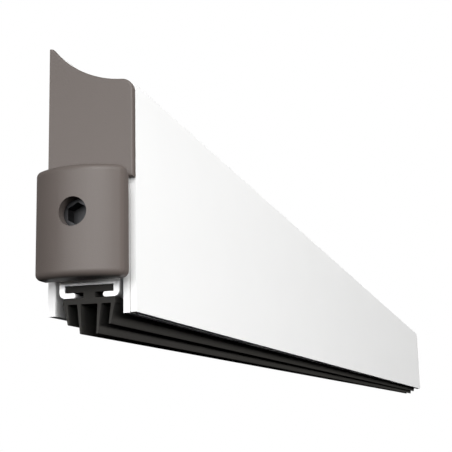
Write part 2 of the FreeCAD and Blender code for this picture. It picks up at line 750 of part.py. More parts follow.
def make_bracket(name, station):
    """A foot on the carrier's web with one upright tongue for the link's bottom pin."""
    body = new_body(name)
    foot = new_sketch(body, "foot", "XY_Plane")
    rectangle(foot, ("-bracket_length / 2", "-bracket_width / 2"),
              ("bracket_length / 2", "bracket_width / 2"))
    for side in ("-", ""):
        circle(foot, "rivet_shank + 2 * press_gap", (side + "rivet_spread / 2", "0"))
    pad(body, foot, "bracket_wall")
    tongue = new_sketch(body, "tongue", "XZ_Plane")
    rectangle(tongue, ("-link_end", "bracket_wall / 2"), ("link_end", "bracket_pin"))
    pad(body, tongue, "bar_wall", symmetric=True)
    crown = new_sketch(body, "crown", "XZ_Plane")
    circle(crown, "2 * link_end", ("0", "bracket_pin"))
    pad(body, crown, "bar_wall", symmetric=True)
    hole = new_sketch(body, "hole", "XZ_Plane")
    circle(hole, "link_pin + 2 * press_gap", ("0", "bracket_pin"))
    pocket(body, hole, "2 * bar_wall", symmetric=True)
    place(body, station + " + link_run", "rod_line", "web_top")


def make_bracket_rivets():
    rivets = []
    for station in STATIONS:
        for side in ("-", "+"):
            name = "rivet_%d" % (len(rivets) + 1)
            rivet = new_headed_pin(name, "rivet_shank", "bracket_wall + web_wall", "rivet_head",
                                   "rivet_head_wall")
            along = "%s + link_run %s rivet_spread / 2" % (station, side)
            place(rivet, along, "rod_line", "web_top + bracket_wall")
            rivets.append(rivet)
    make_group("bracket_rivets", rivets)


def mirrored(half):
    """The other half of a section about the channel's middle, so that the loop closes."""
    left = [("channel_middle - (%s)" % across, up) for across, up in half]
    right = [("channel_middle + (%s)" % across, up) for across, up in reversed(half)]
    return left + right


def make_seal_carrier():
    body = new_body("seal_carrier")
    section = new_sketch(body, "section", "YZ_Plane")
    half_width = "carrier_width / 2"
    inside = half_width + " - carrier_side"
    outer = [
        ("carrier_slot / 2", "carrier_foot"),
        (half_width, "carrier_foot"),
        (half_width, "carrier_top"),
        (half_width + " - carrier_wall", "carrier_top"),
        (half_width + " - carrier_wall", "web_top"),
    ]
    inner = [
        (inside, "web_foot"),
        (inside, "lip_top"),
        ("carrier_slot / 2", "lip_top"),
    ]
    loop = mirrored(outer)
    hollow = mirrored(inner)
    outline(section, loop + hollow[len(inner):] + hollow[:len(inner)])
    pad(body, section, "carrier_length")
    notch = new_sketch(body, "notch", "XZ_Plane")
    rectangle(notch, ("-notch_length", "notch_foot"), ("notch_length", "2 * carrier_top"))
    pocket(body, notch, "housing_depth")
    holes = new_sketch(body, "rivet_holes", "XY_Plane", "web_top")
    for station in STATIONS:
        for side in ("-", "+"):
            spot = "%s + link_run %s rivet_spread / 2" % (station, side)
            circle(holes, "rivet_shank + 2 * press_gap", (spot, "rod_line"))
    pocket(body, holes, "web_wall")
    foot = number("carrier_foot")
    sides = [number("channel_middle - " + half_width), number("channel_middle + " + half_width)]
    round_edges(body, "carrier_edge",
                lambda edge: lies_at(edge, "z", foot) and any(lies_at(edge, "y", side) for side in sides))
    lips = [number("channel_middle - carrier_slot / 2"), number("channel_middle + carrier_slot / 2")]
    faces = [foot, number("lip_top")]
    round_edges(body, "lip_edge",
                lambda edge: any(lies_at(edge, "y", lip) for lip in lips)
                and any(lies_at(edge, "z", face) for face in faces))
    place(body)


def make_gasket():
    body = new_body("gasket")
    section = new_sketch(body, "section", "YZ_Plane")
    fins = []
    for fin in ("inner_fin", "outer_fin"):
        tip = "flange_foot - %s_drop" % fin
        fins += [
            ("%s_root - fin_root / 2" % fin, "flange_foot"),
            ("%s_tip - fin_tip / 2" % fin, tip),
            ("%s_tip + fin_tip / 2" % fin, tip),
            ("%s_root + fin_root / 2" % fin, "flange_foot"),
        ]
    half = fins + [
        ("flange_width / 2", "flange_foot"),
        ("flange_width / 2", "flange_top"),
        ("neck_width / 2", "flange_top"),
        ("neck_width / 2", "lip_top + head_gap"),
        ("head_width / 2", "lip_top + head_gap"),
        ("head_width / 2", "web_foot - head_gap"),
    ]
    outline(section, mirrored(half))
    pad(body, section, "carrier_length")
    place(body)


def check_document():
    """Stop if a step of the model failed."""
    for item in doc.Objects:
        if {"Invalid", "Error"} & set(item.State):
            raise ValueError("%s is not sound: %s" % (item.Name, item.State))
    for piece in PIECES:
        if piece.Shape.isNull() or not piece.Shape.isValid():
            raise ValueError("%s has no sound solid" % piece.Label)


GUIDES = ["guide_front", "guide_middle", "guide_rear"]
STATIONS = ["first_station", "middle_station", "last_station"]
STATION_NAMES = ["front", "middle", "rear"]

make_base_profile()
make_front_cover()
make_end_cap("end_cap_front", "0", "cap_foot", 1)
make_end_cap("end_cap_rear", "profile_length", "cap_rear_foot", -1)
make_guide_block_front()
make_guide_block("guide_block_middle", "guide_middle")
make_guide_block("guide_block_rear", "guide_rear")
make_guide_block_screws()
make_plunger()
make_adjuster_screw()
make_ring("screw_retainer", "head_bore - 2 * press_gap", "screw_shank + 4 * running_gap", "retainer_wall",
          "plunger_face + head_rear + running_gap")
make_push_rod()
make_ring("spring_washer", "sleeve_diameter", "rod_diameter + 2 * press_gap", "washer_wall",
          "rod_front + sleeve_length")
make_return_spring()
make_drive_bar()
make_cross_pins("rod_cross_pin", "fork_pin", "rod_diameter", [("fork_pin_place", "rod_height")])
make_cross_pins("link_top_pins", "link_pin", "pin_length",
                [(station, "top_pin_height") for station in STATIONS])
make_cross_pins("link_bottom_pins", "link_pin", "pin_length",
                [(station + " + link_run", "bottom_pin_height") for station in STATIONS])
for station_name, station in zip(STATION_NAMES, STATIONS):
    make_link("link_" + station_name, station)
    make_bracket("bracket_" + station_name, station)
make_bracket_rivets()
make_seal_carrier()
make_gasket()

doc.recompute()
check_document()
os.makedirs("parts", exist_ok=True)
for piece in PIECES:
    piece.Shape.exportStep("parts/%s.step" % piece.Label)
    print("%-20s %2d solids %10.1f mm3" % (piece.Label, len(piece.Shape.Solids), piece.Shape.Volume))
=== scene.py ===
import math

import bmesh
import bpy
from bpy.props import FloatProperty, FloatVectorProperty, IntProperty, PointerProperty
from bpy.types import Operator, Panel, PropertyGroup
from mathutils import Matrix, Quaternion, Vector


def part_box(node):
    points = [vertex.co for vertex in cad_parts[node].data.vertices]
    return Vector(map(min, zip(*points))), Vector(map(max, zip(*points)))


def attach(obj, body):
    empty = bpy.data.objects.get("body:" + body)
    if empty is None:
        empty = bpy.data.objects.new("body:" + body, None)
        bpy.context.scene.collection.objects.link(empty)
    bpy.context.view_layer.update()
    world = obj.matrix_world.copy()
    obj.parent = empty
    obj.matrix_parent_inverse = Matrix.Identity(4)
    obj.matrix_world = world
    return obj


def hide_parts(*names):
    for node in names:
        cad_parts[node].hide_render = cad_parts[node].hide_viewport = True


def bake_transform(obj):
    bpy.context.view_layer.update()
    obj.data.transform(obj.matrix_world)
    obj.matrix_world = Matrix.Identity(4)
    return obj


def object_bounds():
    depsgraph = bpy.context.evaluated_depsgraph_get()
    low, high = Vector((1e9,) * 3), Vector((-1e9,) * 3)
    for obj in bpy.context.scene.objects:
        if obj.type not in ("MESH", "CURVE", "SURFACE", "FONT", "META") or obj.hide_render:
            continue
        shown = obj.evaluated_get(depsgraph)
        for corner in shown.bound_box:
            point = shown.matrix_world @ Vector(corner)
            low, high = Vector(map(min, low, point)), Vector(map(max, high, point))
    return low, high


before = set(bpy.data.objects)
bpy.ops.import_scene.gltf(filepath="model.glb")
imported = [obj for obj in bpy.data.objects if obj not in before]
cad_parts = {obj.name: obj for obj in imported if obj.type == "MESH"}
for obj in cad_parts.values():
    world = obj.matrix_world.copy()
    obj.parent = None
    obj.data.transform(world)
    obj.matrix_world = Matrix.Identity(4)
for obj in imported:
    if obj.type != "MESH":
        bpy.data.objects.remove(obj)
CAD_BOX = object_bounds()
GASKET_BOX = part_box("gasket")
SPRING_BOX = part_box("return_spring")

bl_info = {
    "name": "Door bottom seal",
    "version": (1, 0, 0),
    "blender": (4, 5, 0),
    "location": "View3D > Sidebar > Door seal",
    "description": "Finishes, rubber gasket and studio of an automatic door bottom seal",
    "category": "Object",
}

MILLIMETRE = 0.001
MICROMETRE = 0.000001

NODE_STEP = 220
SENSOR_WIDTH = 36.0
NEAREST_SEEN = 0.01

LINE_STRETCH = 0.006
STEP_STRETCH = 0.04
STEP_TILT = math.radians(12.0)
END_LIMIT = 0.9
DRAWN_MOTTLES_PER_METRE = 45.0
SKIN_MOTTLES_PER_METRE = 70.0

FLOOR_GLOW = 0.85
SKY_FOOT = -0.2
SKY_TOP = 0.6

CAP_NODES = ("end_cap_front", "end_cap_rear", "plunger")
GUIDE_NODES = ("guide_block_front", "guide_block_middle", "guide_block_rear")
SCREW_NODES = ("adjuster_screw", "guide_block_screws")
LINKAGE_NODES = (
    "screw_retainer", "push_rod", "spring_washer", "drive_bar", "rod_cross_pin",
    "link_top_pins", "link_bottom_pins", "link_front", "link_middle", "link_rear",
    "bracket_front", "bracket_middle", "bracket_rear", "bracket_rivets",
)


def length(name, description, millimetres):
    """A size that is shown in the scene's unit of length."""
    return FloatProperty(name=name, description=description, default=millimetres * MILLIMETRE,
                         subtype="DISTANCE", unit="LENGTH", precision=5)


def colour(name, description, red, green, blue):
    """A plain colour without alpha."""
    return FloatVectorProperty(name=name, description=description, default=(red, green, blue),
                               subtype="COLOR", min=0.0, max=1.0)


def point(name, description, x, y, z):
    """A place in the seal's own frame, in metres."""
    return FloatVectorProperty(name=name, description=description, default=(x, y, z),
                               subtype="TRANSLATION", unit="LENGTH", precision=4)


def count(name, description, default, least):
    """A whole number."""
    return IntProperty(name=name, description=description, default=default, min=least)


def power(name, description, watts):
    """Strength of a lamp."""
    return FloatProperty(name=name, description=description, default=watts, min=0.0,
                         subtype="POWER")


class SealColours(PropertyGroup):
    """Colours of the finishes."""

    cover_white: colour("Cover", "Powder coat on the clip-on cover", 0.86, 0.86, 0.855)
    profile_white: colour("Profile", "Powder coat on the housing profile", 0.86, 0.86, 0.855)
    bare_aluminium: colour("Bare aluminium", "Sawn ends and the carrier", 0.9, 0.9, 0.9)
    cap_grey: colour("Caps", "Moulded end caps and plunger", 0.109, 0.0915, 0.083)
    rubber_black: colour("Rubber", "Gasket", 0.036, 0.0345, 0.032)
    nylon: colour("Nylon", "Guide blocks", 0.72, 0.7, 0.64)
    zinc: colour("Zinc", "Plated rod, bar, links, pins and brackets", 0.6, 0.6, 0.58)
    black_oxide: colour("Black oxide", "Adjuster and guide screws", 0.05, 0.05, 0.052)
    spring_wire: colour("Spring wire", "Return spring", 0.42, 0.41, 0.4)


class GasketSizes(PropertyGroup):
    """Section of the rubber gasket."""

    head_width: length("Head width", "Head that sits in the carrier", 7.45)
    head_height: length("Head height", "Head that sits in the carrier", 1.01)
    neck_width: length("Neck width", "Neck between the carrier's lips", 1.8)
    neck_height: length("Neck height", "Neck between the carrier's lips", 0.85)
    flange_height: length("Flange height", "Flange under the carrier", 0.9)
    fin_root: length("Fin root", "Fins where they leave the flange", 0.58)
    fin_tip: length("Fin tip", "Fins at their lower ends", 0.26)
    inner_root: length("Inner fin root", "Inner fins from the middle", 1.62)
    inner_tip: length("Inner fin tip", "Inner fins from the middle", 1.3)
    outer_root: length("Outer fin root", "Outer fins from the middle", 3.75)
    outer_tip: length("Outer fin tip", "Outer fins from the middle", 3.25)
    outer_drop: length("Outer fin drop", "Outer fins below the flange", 3.05)
    corner: length("Corner", "Rounding of every corner of the section", 0.12)
    corner_steps: count("Corner steps", "Facets of a rounded corner", 3, 1)


class SpringSizes(PropertyGroup):
    """Coil of the return spring."""

    wire: length("Wire", "Diameter of the spring wire", 0.8)
    wire_sides: count("Wire sides", "Facets round the wire", 10, 3)
    turns: count("Turns", "Turns of the coil", 5, 1)
    turn_steps: count("Turn steps", "Facets of one turn", 28, 3)


class StageSizes(PropertyGroup):
    """Floor, lamps and camera."""

    floor_drop: length("Floor drop", "Floor below the seal's lowest edge", 320.0)
    floor_side: length("Floor side", "Side of the square floor", 12000.0)
    floor_white: colour("Floor", "Floor and surroundings", 0.9, 0.9, 0.9)
    surround: FloatProperty(name="Surround", description="Even light from above", default=0.14,
                            min=0.0)
    front_place: point("Front place", "Lamp behind the camera", -1.2, -0.05, 0.13)
    front_width: length("Front width", "Width of the lamp behind the camera", 1600.0)
    front_height: length("Front height", "Height of the lamp behind the camera", 400.0)
    front_power: power("Front power", "Lamp behind the camera", 9.5)
    near_place: point("Near place", "Low lamp before the near end", -0.52, -0.58, 0.045)
    near_width: length("Near width", "Width of the lamp before the near end", 260.0)
    near_height: length("Near height", "Height of the lamp before the near end", 100.0)
    near_power: power("Near power", "Lamp before the near end", 1.65)
    side_place: point("Side place", "Long lamp before the cover", 0.5, -1.12, 0.17)
    side_width: length("Side width", "Width of the long lamp", 900.0)
    side_height: length("Side height", "Height of the long lamp", 300.0)
    side_power: power("Side power", "Long lamp", 13.4)
    top_place: point("Top place", "Lamp above the camera", -0.85, -0.2, 0.5)
    top_side: length("Top side", "Side of the lamp above", 400.0)
    top_power: power("Top power", "Lamp above", 4.5)
    back_place: point("Back place", "Lamp behind the door's side", 0.7, 1.2, 0.2)
    back_side: length("Back side", "Side of the lamp behind", 900.0)
    back_power: power("Back power", "Lamp behind", 18.0)
    camera_place: point("Camera place", "Where the camera stands", -0.3802, -0.06398, -0.04229)
    camera_aim: point("Camera aim", "What the picture is centred on", -0.23848, -0.02455, -0.01297)
    camera_roll: FloatProperty(name="Camera roll", description="Tilt of the picture",
                               default=math.radians(1.353), subtype="ANGLE", unit="ROTATION")
    lens: FloatProperty(name="Lens", description="Focal length on a 36 mm square sensor",
                        default=76.66, min=1.0, subtype="DISTANCE_CAMERA")


def add_node(tree, kind, column, row, **settings):
    """A shader node in its place of the node editor."""
    node = tree.nodes.new(kind)
    node.location = (NODE_STEP * column, -NODE_STEP * row)
    for name, value in settings.items():
        setattr(node, name, value)
    return node


def wire(tree, source, target):
    """Join two sockets."""
    tree.links.new(source, target)


def new_group(name, inputs, outputs):
    """An empty node group with number sockets, and its two end nodes."""
    group = bpy.data.node_groups.new(name, "ShaderNodeTree")
    for label, default in inputs:
        socket = group.interface.new_socket(name=label, in_out="INPUT",
                                            socket_type="NodeSocketFloat")
        socket.default_value = default
    for label in outputs:
        group.interface.new_socket(name=label, in_out="OUTPUT", socket_type="NodeSocketFloat")
    entry = add_node(group, "NodeGroupInput", -1, 0)
    leave = add_node(group, "NodeGroupOutput", 6, 0)
    return group, entry, leave


def drawn_lines_group():
    """Fine lines along the length, as a die leaves them on an extrusion or a drawn bar."""
    name = "Drawn lines"
    if name in bpy.data.node_groups:
        return bpy.data.node_groups[name]
    group, entry, leave = new_group(name, [("Lines per metre", 2600.0)], ["Lines", "Mottle"])
    place = add_node(group, "ShaderNodeTexCoord", 0, 1)
    stretch = add_node(group, "ShaderNodeMapping", 1, 1)
    stretch.inputs["Scale"].default_value = (LINE_STRETCH, 1.0, 1.0)
    lines = add_node(group, "ShaderNodeTexNoise", 3, 0)
    lines.inputs["Detail"].default_value = 3.0
    mottle = add_node(group, "ShaderNodeTexNoise", 3, 2)
    mottle.inputs["Scale"].default_value = DRAWN_MOTTLES_PER_METRE
    wire(group, place.outputs["Object"], stretch.inputs["Vector"])
    wire(group, stretch.outputs["Vector"], lines.inputs["Vector"])
    wire(group, entry.outputs["Lines per metre"], lines.inputs["Scale"])
    wire(group, place.outputs["Object"], mottle.inputs["Vector"])
    wire(group, lines.outputs["Fac"], leave.inputs["Lines"])
    wire(group, mottle.outputs["Fac"], leave.inputs["Mottle"])
    return group


def sawn_end_group():
    """Where a surface faces along the length, with the fine steps that a saw leaves there."""
    name = "Sawn end"
    if name in bpy.data.node_groups:
        return bpy.data.node_groups[name]
    group, entry, leave = new_group(name, [("Steps per metre", 2200.0)], ["End", "Steps"])
    place = add_node(group, "ShaderNodeTexCoord", 0, 1)
    split = add_node(group, "ShaderNodeSeparateXYZ", 1, 0)
    size = add_node(group, "ShaderNodeMath", 2, 0, operation="ABSOLUTE")
    faces_end = add_node(group, "ShaderNodeMath", 3, 0, operation="GREATER_THAN")
    faces_end.inputs[1].default_value = END_LIMIT
    turn = add_node(group, "ShaderNodeMapping", 1, 2)
    turn.inputs["Rotation"].default_value = (STEP_TILT, 0.0, 0.0)
    stretch = add_node(group, "ShaderNodeMapping", 2, 2)
    stretch.inputs["Scale"].default_value = (1.0, STEP_STRETCH, 1.0)
    steps = add_node(group, "ShaderNodeTexNoise", 4, 2)
    wire(group, place.outputs["Normal"], split.inputs["Vector"])
    wire(group, split.outputs["X"], size.inputs[0])
    wire(group, size.outputs["Value"], faces_end.inputs[0])
    wire(group, place.outputs["Object"], turn.inputs["Vector"])
    wire(group, turn.outputs["Vector"], stretch.inputs["Vector"])
    wire(group, stretch.outputs["Vector"], steps.inputs["Vector"])
    wire(group, entry.outputs["Steps per metre"], steps.inputs["Scale"])
    wire(group, faces_end.outputs["Value"], leave.inputs["End"])
    wire(group, steps.outputs["Fac"], leave.inputs["Steps"])
    return group


def skin_group():
    """Grain of a moulded or coated surface, and a slow change of shade over it."""
    name = "Skin"
    if name in bpy.data.node_groups:
        return bpy.data.node_groups[name]
    group, entry, leave = new_group(name, [("Grains per metre", 5000.0)], ["Grain", "Mottle"])
    place = add_node(group, "ShaderNodeTexCoord", 0, 1)
    grain = add_node(group, "ShaderNodeTexNoise", 3, 0)
    grain.inputs["Detail"].default_value = 2.0
    mottle = add_node(group, "ShaderNodeTexNoise", 3, 2)
    mottle.inputs["Scale"].default_value = SKIN_MOTTLES_PER_METRE
    mottle.inputs["Detail"].default_value = 3.0
    wire(group, place.outputs["Object"], grain.inputs["Vector"])
    wire(group, entry.outputs["Grains per metre"], grain.inputs["Scale"])
    wire(group, place.outputs["Object"], mottle.inputs["Vector"])
    wire(group, grain.outputs["Fac"], leave.inputs["Grain"])
    wire(group, mottle.outputs["Fac"], leave.inputs["Mottle"])
    return group


def new_material(name, roughness, metallic=0.0, specular=0.5):
    """A material with its Principled shader and nothing else."""
    material = bpy.data.materials.new(name)
    material.use_nodes = True
    tree = material.node_tree
    tree.nodes.clear()
    leave = add_node(tree, "ShaderNodeOutputMaterial", 6, 0)
    shader = add_node(tree, "ShaderNodeBsdfPrincipled", 4, 0)
    shader.inputs["Roughness"].default_value = roughness
    shader.inputs["Metallic"].default_value = metallic
    shader.inputs["Specular IOR Level"].default_value = specular
    wire(tree, shader.outputs["BSDF"], leave.inputs["Surface"])
    return material, tree, shader


def place_group(tree, group, row, **values):
    """A node group in a material, with its own values."""
    node = add_node(tree, "ShaderNodeGroup", -1, row, node_tree=group)
    for label, value in values.items():
        node.inputs[label.replace("_", " ")].default_value = value
    return node


def shade_between(tree, mask, dark, light, row):
    """A colour between two that follows a mask."""
    mix = add_node(tree, "ShaderNodeMix", 1, row, data_type="RGBA")
    mix.inputs["A"].default_value = (*dark, 1.0)
    mix.inputs["B"].default_value = (*light, 1.0)
    wire(tree, mask, mix.inputs["Factor"])
    return mix


def raise_surface(tree, shader, height, depth, row):
    """Fine relief of a surface, its depth in metres."""
    bump = add_node(tree, "ShaderNodeBump", 3, row)
    bump.inputs["Strength"].default_value = 1.0
    bump.inputs["Distance"].default_value = depth
    wire(tree, height, bump.inputs["Height"])
    wire(tree, bump.outputs["Normal"], shader.inputs["Normal"])


def times(shade, factor):
    """A colour made lighter or darker."""
    return tuple(min(1.0, part * factor) for part in shade)


def colour_with_ends(tree, shader, ends, along, cut):
    """One colour along an extrusion and another on its cut ends."""
    both = add_node(tree, "ShaderNodeMix", 2, 1, data_type="RGBA")
    wire(tree, ends.outputs["End"], both.inputs["Factor"])
    wire(tree, along.outputs["Result"], both.inputs["A"])
    wire(tree, cut.outputs["Result"], both.inputs["B"])
    wire(tree, both.outputs["Result"], shader.inputs["Base Color"])


def vary_roughness(tree, shader, mask, low, high, row):
    """Roughness between two values that follows a mask."""
    scale = add_node(tree, "ShaderNodeMapRange", 2, row)
    scale.inputs["To Min"].default_value = low
    scale.inputs["To Max"].default_value = high
    wire(tree, mask, scale.inputs["Value"])
    wire(tree, scale.outputs["Result"], shader.inputs["Roughness"])


def coated_extrusion(name, coat, bare):
    """White powder coat over an extrusion, with sawn ends of bare aluminium."""
    material, tree, shader = new_material(name, roughness=0.38, specular=0.4)
    skin = place_group(tree, skin_group(), 0, Grains_per_metre=1500.0)
    ends = place_group(tree, sawn_end_group(), 2)
    mottle = skin.outputs["Mottle"]
    steps = ends.outputs["Steps"]
    face = shade_between(tree, mottle, dark=times(coat, 0.985), light=times(coat, 1.01), row=0)
    sawn = shade_between(tree, steps, dark=times(bare, 0.95), light=bare, row=2)
    colour_with_ends(tree, shader, ends, face, sawn)
    vary_roughness(tree, shader, mottle, low=0.34, high=0.42, row=3)
    raise_surface(tree, shader, skin.outputs["Grain"], depth=4 * MICROMETRE, row=4)
    return material


def anodised_extrusion(name, bare):
    """Satin aluminium with die lines along it and sawn ends."""
    material, tree, shader = new_material(name, roughness=0.35, metallic=0.35)
    die = place_group(tree, drawn_lines_group(), 0)
    ends = place_group(tree, sawn_end_group(), 2)
    lines = die.outputs["Lines"]
    steps = ends.outputs["Steps"]
    along = shade_between(tree, lines, dark=times(bare, 0.86), light=bare, row=0)
    sawn = shade_between(tree, steps, dark=times(bare, 0.92), light=times(bare, 1.06), row=2)
    colour_with_ends(tree, shader, ends, along, sawn)
    vary_roughness(tree, shader, lines, low=0.28, high=0.44, row=3)
    raise_surface(tree, shader, lines, depth=6 * MICROMETRE, row=4)
    return material


def moulded_plastic(name, shade, roughness, specular, grains, depth):
    """Satin moulded plastic with an eroded grain."""
    material, tree, shader = new_material(name, roughness=roughness, specular=specular)
    skin = place_group(tree, skin_group(), 0, Grains_per_metre=grains)
    mottle = skin.outputs["Mottle"]
    grain = skin.outputs["Grain"]
    tone = shade_between(tree, mottle, dark=times(shade, 0.94), light=times(shade, 1.05), row=0)
    wire(tree, tone.outputs["Result"], shader.inputs["Base Color"])
    vary_roughness(tree, shader, grain, low=roughness - 0.07, high=roughness + 0.07, row=1)
    raise_surface(tree, shader, grain, depth=depth, row=2)
    return material


def extruded_rubber(name, shade):
    """Matt rubber with die lines along the strip, and cut ends painted a little paler as a painted
    highlight for light on the end faces.
    """
    material, tree, shader = new_material(name, roughness=0.75, specular=0.2)
    die = place_group(tree, drawn_lines_group(), 0, Lines_per_metre=1500.0)
    ends = place_group(tree, sawn_end_group(), 2, Steps_per_metre=3500.0)
    lines = die.outputs["Lines"]
    steps = ends.outputs["Steps"]
    along = shade_between(tree, lines, dark=times(shade, 0.8), light=times(shade, 1.2), row=0)
    # Painted highlight: the cut ends are a little paler than the strip, standing in for light
    # falling on the end faces.
    cut = shade_between(tree, steps, dark=times(shade, 0.85), light=times(shade, 1.25), row=2)
    colour_with_ends(tree, shader, ends, along, cut)
    vary_roughness(tree, shader, die.outputs["Mottle"], low=0.68, high=0.85, row=3)
    raise_surface(tree, shader, lines, depth=10 * MICROMETRE, row=4)
    return material


def drawn_steel(name, shade, roughness, lines_per_metre):
    """Steel with lines along it."""
    material, tree, shader = new_material(name, roughness=roughness, metallic=1.0)
    die = place_group(tree, drawn_lines_group(), 0, Lines_per_metre=lines_per_metre)
    lines = die.outputs["Lines"]
    mottle = die.outputs["Mottle"]
    tone = shade_between(tree, mottle, dark=times(shade, 0.85), light=times(shade, 1.1), row=0)
    wire(tree, tone.outputs["Result"], shader.inputs["Base Color"])
    vary_roughness(tree, shader, lines, low=roughness - 0.1, high=roughness + 0.12, row=1)
    raise_surface(tree, shader, lines, depth=5 * MICROMETRE, row=2)
    return material


def coat_nodes(names, material):
    """Give sub-parts of the frame their material."""
    for name in names:
        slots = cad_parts[name].material_slots
        if not slots:
            raise ValueError("%s has no material slot" % name)
        for slot in slots:
            slot.link = "OBJECT"
            slot.material = material


def new_piece(name, shape, material):
    """A finished mesh as an object at the origin."""
    mesh = bpy.data.meshes.new(name)
    shape.to_mesh(mesh)
    shape.free()
    piece = bpy.data.objects.new(name, mesh)
    bpy.context.scene.collection.objects.link(piece)
    mesh.materials.append(material)
    return piece


class DOORSEAL_OT_finish_cover(Operator):
    """Powder coat the clip-on cover"""

    bl_idname = "doorseal.finish_cover"
    bl_label = "Finish cover"

    def execute(self, context):
        shades = context.scene.seal_colours
        white = coated_extrusion("White cover", shades.cover_white, shades.cover_white)
        coat_nodes(["front_cover"], white)
        return {"FINISHED"}


class DOORSEAL_OT_finish_profile(Operator):
    """Powder coat the housing profile"""

    bl_idname = "doorseal.finish_profile"
    bl_label = "Finish profile"

    def execute(self, context):
        shades = context.scene.seal_colours
        white = coated_extrusion("White profile", shades.profile_white, shades.bare_aluminium)
        coat_nodes(["base_profile"], white)
        return {"FINISHED"}


class DOORSEAL_OT_finish_caps(Operator):
    """Give the end caps and the plunger their grey moulded plastic"""

    bl_idname = "doorseal.finish_caps"
    bl_label = "Finish caps and plunger"

    def execute(self, context):
        shade = context.scene.seal_colours.cap_grey
        plastic = moulded_plastic("Grey cap plastic", shade, roughness=0.46, specular=0.42,
                                  grains=4200.0, depth=12 * MICROMETRE)
        coat_nodes(CAP_NODES, plastic)
        return {"FINISHED"}


class DOORSEAL_OT_finish_guides(Operator):
    """Give the guide blocks their nylon"""

    bl_idname = "doorseal.finish_guides"
    bl_label = "Finish guide blocks"

    def execute(self, context):
        shade = context.scene.seal_colours.nylon
        nylon = moulded_plastic("Natural nylon", shade, roughness=0.42, specular=0.5,
                                grains=2500.0, depth=6 * MICROMETRE)
        coat_nodes(GUIDE_NODES, nylon)
        return {"FINISHED"}


class DOORSEAL_OT_finish_carrier(Operator):
    """Give the seal carrier its satin aluminium"""

    bl_idname = "doorseal.finish_carrier"
    bl_label = "Finish carrier"

    def execute(self, context):
        shade = context.scene.seal_colours.bare_aluminium
        coat_nodes(["seal_carrier"], anodised_extrusion("Satin aluminium", shade))
        return {"FINISHED"}


class DOORSEAL_OT_finish_linkage(Operator):
    """Plate the rod, the bar, the links and their small parts"""

    bl_idname = "doorseal.finish_linkage"
    bl_label = "Finish linkage"

    def execute(self, context):
        shade = context.scene.seal_colours.zinc
        zinc = drawn_steel("Bright zinc", shade, roughness=0.34, lines_per_metre=2600.0)
        coat_nodes(LINKAGE_NODES, zinc)
        return {"FINISHED"}


class DOORSEAL_OT_finish_screws(Operator):
    """Blacken the adjuster and the guide screws"""

    bl_idname = "doorseal.finish_screws"
    bl_label = "Finish screws"

    def execute(self, context):
        shade = context.scene.seal_colours.black_oxide
        black = drawn_steel("Black oxide", shade, roughness=0.42, lines_per_metre=5000.0)
        coat_nodes(SCREW_NODES, black)
        return {"FINISHED"}


class DOORSEAL_OT_make_spring(Operator):
    """Coil the return spring between its washer and the front guide block"""

    bl_idname = "doorseal.make_spring"
    bl_label = "Make spring"

    def execute(self, context):
        sizes = context.scene.spring_sizes
        low, high = SPRING_BOX
        middle = (low + high) / 2
        steps = sizes.turns * sizes.turn_steps
        rise = (high.x - low.x - sizes.wire) / steps
        start = Vector((low.x + sizes.wire / 2, middle.y, middle.z))
        coil_radius = (high.z - low.z - sizes.wire) / 2
        top = Matrix.Translation(start + Vector((0.0, 0.0, coil_radius)))
        upright = top @ Matrix.Rotation(math.pi / 2, 4, "X")
        shape = bmesh.new()
        bmesh.ops.create_circle(shape, cap_ends=False, segments=sizes.wire_sides,
                                radius=sizes.wire / 2, matrix=upright)
        bmesh.ops.spin(shape, geom=list(shape.verts) + list(shape.edges), cent=start,
                       axis=(1.0, 0.0, 0.0), dvec=(rise, 0.0, 0.0),
                       angle=2 * math.pi * sizes.turns, steps=steps)
        open_edges = [edge for edge in shape.edges if edge.is_boundary]
        bmesh.ops.holes_fill(shape, edges=open_edges, sides=0)
        bmesh.ops.recalc_face_normals(shape, faces=list(shape.faces))
        shade = context.scene.seal_colours.spring_wire
        steel = drawn_steel("Spring wire", shade, roughness=0.3, lines_per_metre=6000.0)
        piece = new_piece("coil_spring", shape, steel)
        for face in piece.data.polygons:
            face.use_smooth = len(face.vertices) == 4
        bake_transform(piece)
        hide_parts("return_spring")
        return {"FINISHED"}


def gasket_half(sizes):
    """Half of the gasket's section, from the middle of its foot round to that of its head."""
    low, high = GASKET_BOX
    flange_half = (high.y - low.y) / 2
    head_foot = high.z - sizes.head_height
    flange_top = head_foot - sizes.neck_height
    flange_foot = flange_top - sizes.flange_height
    fins = (
        (sizes.inner_root, sizes.inner_tip, low.z),
        (sizes.outer_root, sizes.outer_tip, flange_foot - sizes.outer_drop),
    )
    half = []
    for root, tip, foot in fins:
        half += [
            (root - sizes.fin_root / 2, flange_foot),
            (tip - sizes.fin_tip / 2, foot),
            (tip + sizes.fin_tip / 2, foot),
            (root + sizes.fin_root / 2, flange_foot),
        ]
    return half + [
        (flange_half, flange_foot),
        (flange_half, flange_top),
        (sizes.neck_width / 2, flange_top),
        (sizes.neck_width / 2, head_foot),
        (sizes.head_width / 2, head_foot),
        (sizes.head_width / 2, high.z),
    ]


